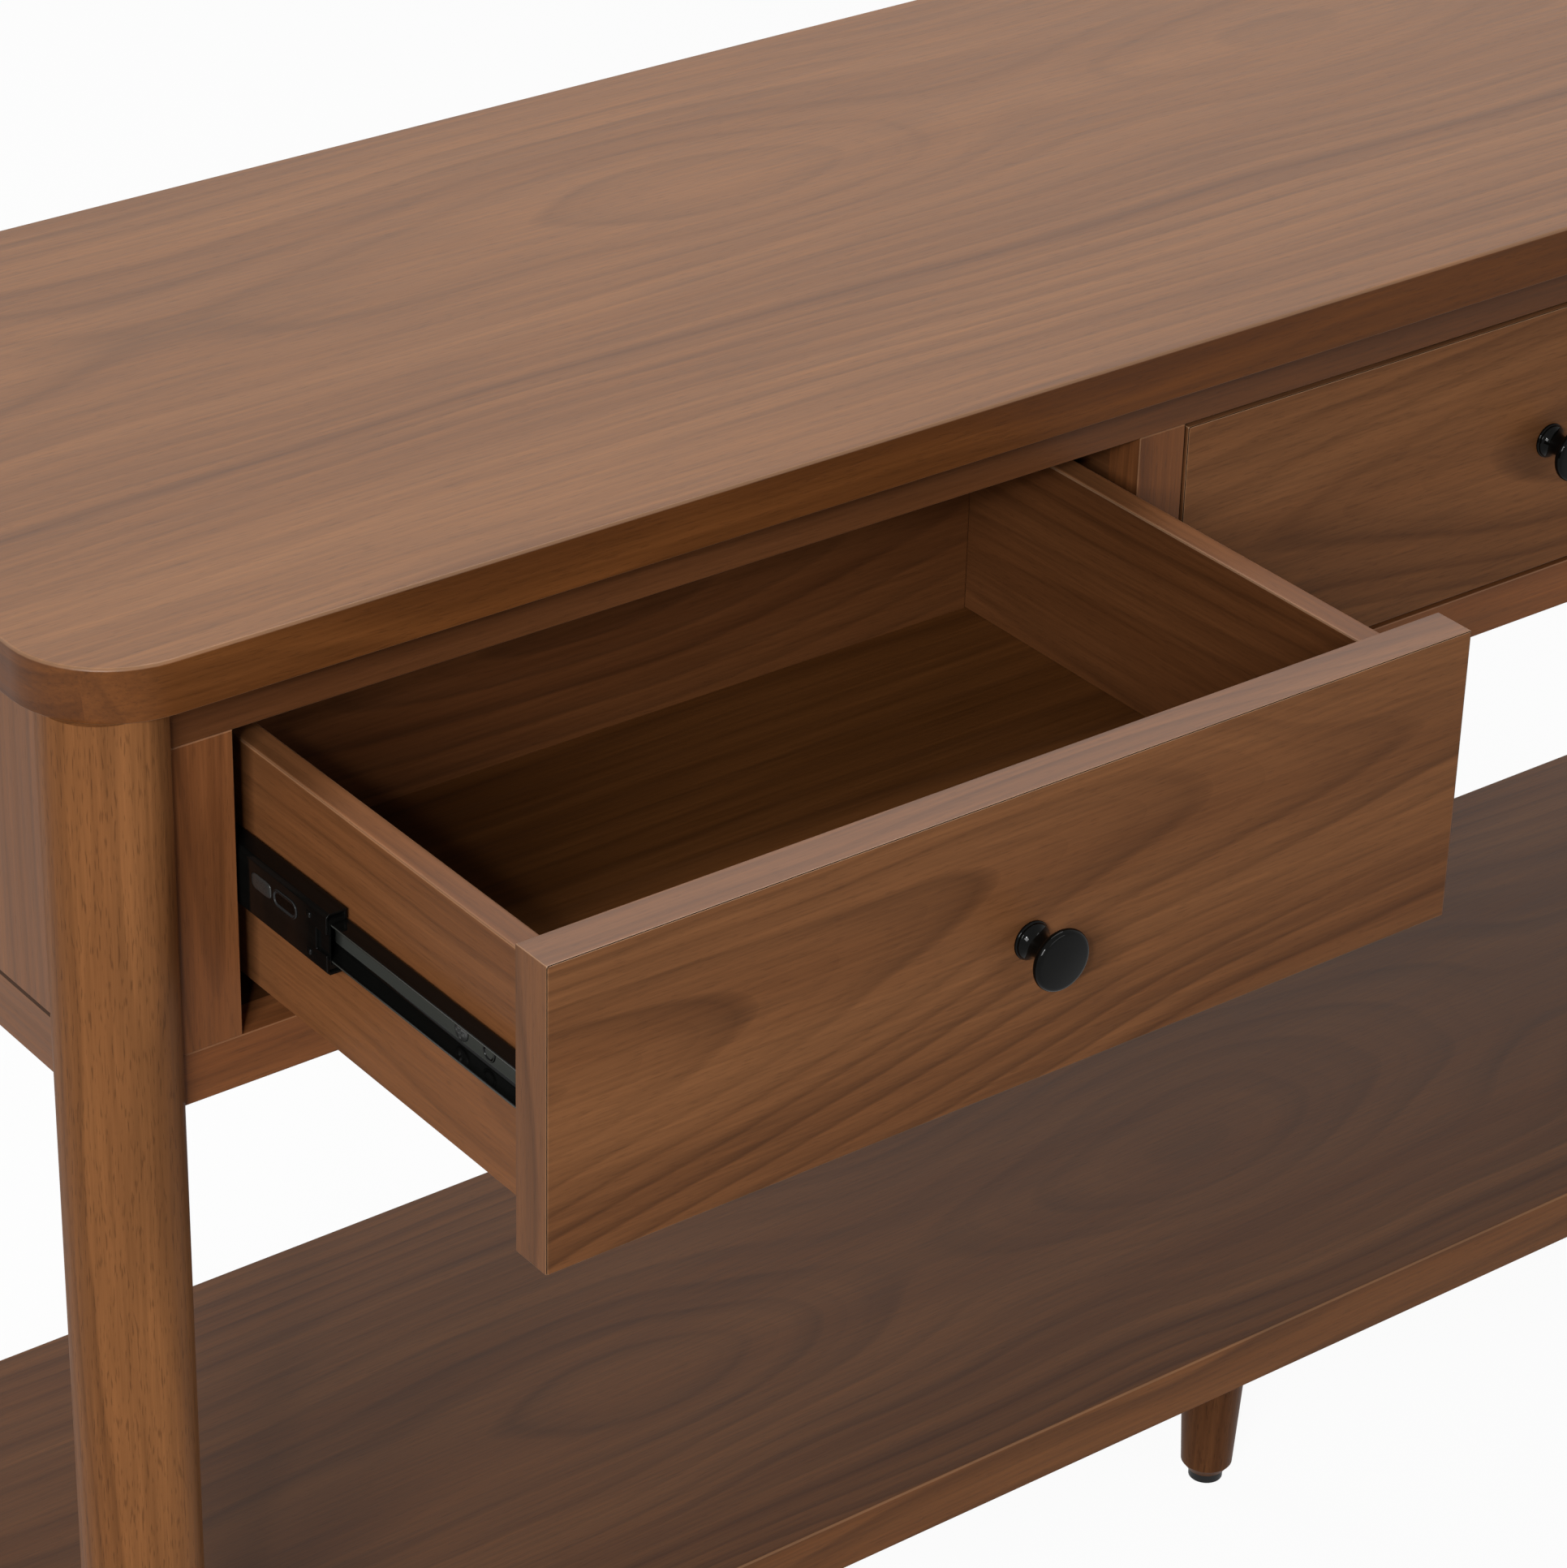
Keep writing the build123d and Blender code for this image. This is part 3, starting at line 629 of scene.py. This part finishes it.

# Drawer boxes
# Sides, back and bottom of veneered board; the bottom is a thin panel slid into grooves.
# The sides' inside faces, the back and the bottom are painted darker than the outside: painted shade.

box_light = (0.215, 0.085, 0.031)
box_dark = (0.155, 0.057, 0.019)
# The back and the bottom are darker than the sides as painted shade inside the box.
back_light = (0.118, 0.044, 0.0145)
back_dark = (0.085, 0.029, 0.009)
bottom_light = (0.125, 0.045, 0.012)
bottom_dark = (0.066, 0.023, 0.0055)
box_arris = 0.0006
for index, drawer in enumerate(drawers):
    for side, along, shaded_inside_face in (("left_side", 0.0, "Right"), ("right_side", 0.23, "Left")):
        low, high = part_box(f"{drawer}_{side}")
        pith = (0.47 * index + along, -low.x - 0.05, low.z + 0.04)
        # The sides' arrises are painted paler as a painted highlight.
        side_walnut = walnut(
            f"{drawer}_{side}_walnut", "Y", pith, box_light, box_dark, spacing=0.008, dive=0.04, sheen_up=0.5,
            highlight_and_joint=0.16, shaded_inside=shaded_inside_face,
        )
        finish(side_walnut, f"{drawer}_{side}")
    low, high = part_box(f"{drawer}_back")
    pith = (low.x + 0.2 + 0.37 * index, low.y - 0.002, low.z + 0.05)
    back_walnut = walnut(
        f"{drawer}_back_walnut", "X", pith, back_light, back_dark, wander=0.05, dive=0.13, depth=0.66
    )
    finish(back_walnut, f"{drawer}_back")
    low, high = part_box(f"{drawer}_bottom")
    pith = (low.x + 0.37 * index, low.y + 0.1, low.z - 0.06)
    bottom_walnut = walnut(f"{drawer}_bottom_walnut", "X", pith, bottom_light, bottom_dark, spacing=0.012)
    finish(bottom_walnut, f"{drawer}_bottom")
    soften(box_arris, f"{drawer}_left_side", f"{drawer}_right_side", f"{drawer}_back")

# Drawer fronts
# Thick veneered fronts, each cut from its own part of the leaf so that the figure changes,
# and lipped at the ends with upright grain.

front_light = np.array((0.208, 0.087, 0.034))
front_dark = np.array((0.15, 0.059, 0.022))
front_arris = 0.0005
# Of each front's veneer: its tone, its pith from the front's lower corner, and the pith's slant and dive.
# The second front's tone is lowered as painted shade cast by the open drawer beside it.
front_cuts = (
    (1.0, (0.05, -0.03, 0.07), -0.06, 0.07),
    (0.95, (0.45, -0.026, 0.05), 0.04, -0.05),
    (0.98, (-0.35, -0.034, 0.09), -0.03, -0.09),
)
for drawer, (tone, pith_from_corner, slant, dive) in zip(drawers, front_cuts):
    low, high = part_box(f"{drawer}_front")
    # The fronts' arrises are painted paler as a painted highlight.
    pith = low + Vector(pith_from_corner)
    front_walnut = walnut(
        f"{drawer}_front_walnut", "X", pith, tone * front_light, tone * front_dark, spacing=0.007,
        slant=slant, dive=dive, wander=0.085, depth=0.66, gloss=0.06, sheen_up=0.85, sheen_side=0.2,
        lipping="Z", highlight_and_joint=0.25,
    )
    finish(front_walnut, f"{drawer}_front")
    soften(front_arris, f"{drawer}_front")

# Knobs
# Turned metal knobs with a gloss black coat, each held by a screw through the drawer's front.


def revolved(name, profile, steps, origin, axis):
    """A profile of distances along an axis and radii, turned about the axis.

    Each point is the origin, plus its distance along the axis, plus its radius across it.
    """
    along, radius = np.array(profile).T
    turn = np.linspace(0, 2 * np.pi, steps, endpoint=False)
    side, up, axis = facing(axis)
    ring = np.cos(turn)[:, None] * side + np.sin(turn)[:, None] * up
    points = np.array(origin) + along[:, None, None] * axis + radius[:, None, None] * ring
    return surface_mesh(name, points)


def arc(along, radius, bend, start, end, steps=10):
    """Points of a profile on an arc about (along, radius), from one angle to another in degrees."""
    angle = np.radians(np.linspace(start, end, steps))
    return np.stack([along + bend * np.cos(angle), radius + bend * np.sin(angle)], -1)


knob_gloss = coated(
    "knob_gloss", (260, 260, 260), (0.0012, 0.0012, 0.001), (0.003, 0.003, 0.0026), (0.025, 0.05), gloss=0.085
)
base, bead = 0.0079, 0.0009
waist, waist_at, cove_from, cove_rise, cove_power = 0.0046, 0.0078, 0.0019, 0.0029, 2.4
flare_at, flare_power = 0.0152, 2.6
rim_at, rim_bend = 0.0174, 0.0021
knob_screw_radius, knob_screw_height = 0.0042, 0.0018
for drawer in drawers:
    low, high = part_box(f"{drawer}_knob")
    head = (high.x - low.x) / 2
    length = high.y - low.y
    origin = ((low.x + high.x) / 2, high.y, (low.z + high.z) / 2)
    cove = np.linspace(cove_from, waist_at, 12)
    cove_share = (waist_at - cove) / (waist_at - cove_from)
    flare = np.linspace(waist_at, flare_at, 14)[1:]
    flare_share = (flare - waist_at) / (flare_at - waist_at)
    rim = arc(rim_at, head - rim_bend, rim_bend, 205, 25, 14)
    profile = np.concatenate([
        [(0.0, 0.0)],
        arc(bead, base - bead, bead, 180, 0, 12),
        np.stack([cove, waist + cove_rise * cove_share**cove_power], -1),
        np.stack([flare, waist + (rim[0, 1] - waist) * flare_share**flare_power], -1),
        rim,
    ])
    part = np.linspace(1, 0, 14)[1:]
    dome = np.stack([rim[-1, 0] + (length - rim[-1, 0]) * (1 - part**2), rim[-1, 1] * part], -1)
    knob = revolved(f"{drawer}_turned_knob", np.concatenate([profile, dome]), 96, origin, (0, -1, 0))
    knob.data.materials.append(knob_gloss)
    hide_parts(f"{drawer}_knob")
    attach(knob, drawer)
    screw_place = (origin[0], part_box(f"{drawer}_front")[1].y, origin[2])
    screw = screw_head(
        f"{drawer}_knob_screw", screw_place, (0, 1, 0), knob_screw_radius, knob_screw_height
    )
    screw.data.materials.append(screw_zinc)
    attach(screw, drawer)

# Studio
# A white floor and backdrop. A key lamp stands at the front left and a weaker one at the front, others hang
# above and stand behind, a small bright lamp draws the sparks on gloss black, and a weak fill is all round.


def seen_rays(tree):
    """A mask of the rays that come from the camera, or from it through gloss or glass."""
    path = add(tree, "ShaderNodeLightPath").outputs
    mirrored = sums(tree, "MAXIMUM", path["Is Glossy Ray"], path["Is Transmission Ray"])
    return sums(tree, "MAXIMUM", path["Is Camera Ray"], mirrored)


floor_size = 12.0
glow_share = 0.94
paper_lit = (0.2, 0.2, 0.2, 1)
paper_seen = (0.95, 0.95, 0.95, 1)
floor_mesh = bpy.data.meshes.new("studio_floor")
corners = floor_size * np.array([(-1, -1, 0), (1, -1, 0), (1, 1, 0), (-1, 1, 0)])
floor_mesh.from_pydata(corners.tolist(), [], [(0, 1, 2, 3)])
floor = bpy.data.objects.new("studio_floor", floor_mesh)
bpy.context.scene.collection.objects.link(floor)
floor_white = bpy.data.materials.new("floor_white")
floor_white.use_nodes = True
tree = floor_white.node_tree
tree.nodes.remove(tree.nodes["Principled BSDF"])
seen = seen_rays(tree)
paper_color = tinted(tree, seen, paper_lit, paper_seen)
paper = add(tree, "ShaderNodeBsdfDiffuse", paper_color).outputs[0]
glow = add(tree, "ShaderNodeEmission", (1, 1, 1, 1), 1.0).outputs[0]
share = sums(tree, "MULTIPLY", seen, glow_share)
mixed = add(tree, "ShaderNodeMixShader", share, paper, glow).outputs[0]
tree.links.new(mixed, tree.nodes["Material Output"].inputs["Surface"])
floor_mesh.materials.append(floor_white)

world = bpy.data.worlds.new("studio_world")
bpy.context.scene.world = world
world.use_nodes = True
tree = world.node_tree
fill_light = 0.14
backdrop = tree.nodes["Background"].inputs
tree.links.new(ramp(tree, seen_rays(tree), 0.0, 1.0, fill_light, 1.0), backdrop["Strength"])
backdrop["Color"].default_value = (1, 1, 1, 1)


def softbox(name, place, aim, width, height, watts):
    """A rectangular lamp that looks at a point."""
    lamp = bpy.data.lights.new(name, "AREA")
    lamp.shape = "RECTANGLE"
    lamp.size = width
    lamp.size_y = height
    lamp.energy = watts
    made = bpy.data.objects.new(name, lamp)
    made.location = place
    made.rotation_euler = (Vector(aim) - Vector(place)).to_track_quat("-Z", "Y").to_euler()
    bpy.context.scene.collection.objects.link(made)


open_drawer = (-0.3, -0.2, 0.6)
softbox("key_softbox", (-2.95, -2.1, 2.1), open_drawer, 1.1, 1.1, 90)
softbox("front_softbox", (0.5, -3.3, 1.5), (-0.2, -0.2, 0.6), 1.8, 1.0, 19)
softbox("spark_lamp", (-2.4, -2.3, 2.3), open_drawer, 0.16, 0.16, 24)
softbox("overhead_softbox", (0.1, 0.35, 3.2), (0, 0, 0.7), 2.0, 1.2, 38)
softbox("rear_softbox", (-0.9, 3.2, 1.4), (0, 0, 0.6), 1.6, 1.2, 18)

camera_data = bpy.data.cameras.new("photo_camera")
camera_data.sensor_fit = "HORIZONTAL"
camera_data.sensor_width = 36.0
camera_data.lens = 116.6
camera = bpy.data.objects.new("photo_camera", camera_data)
camera_place = Vector((-1.4804, -1.5378, 1.6052))
camera_right = Vector((0.79845548, -0.60159236, 0.02356835))
camera_up = Vector((0.28005899, 0.40578828, 0.87000163))
camera_back = Vector((-0.5329501, -0.68805704, 0.49248523))
turn = Matrix((camera_right, camera_up, camera_back)).transposed().to_4x4()
camera.matrix_world = Matrix.Translation(camera_place) @ turn
bpy.context.scene.collection.objects.link(camera)
bpy.context.scene.camera = camera
bpy.context.scene.view_settings.view_transform = "Standard"
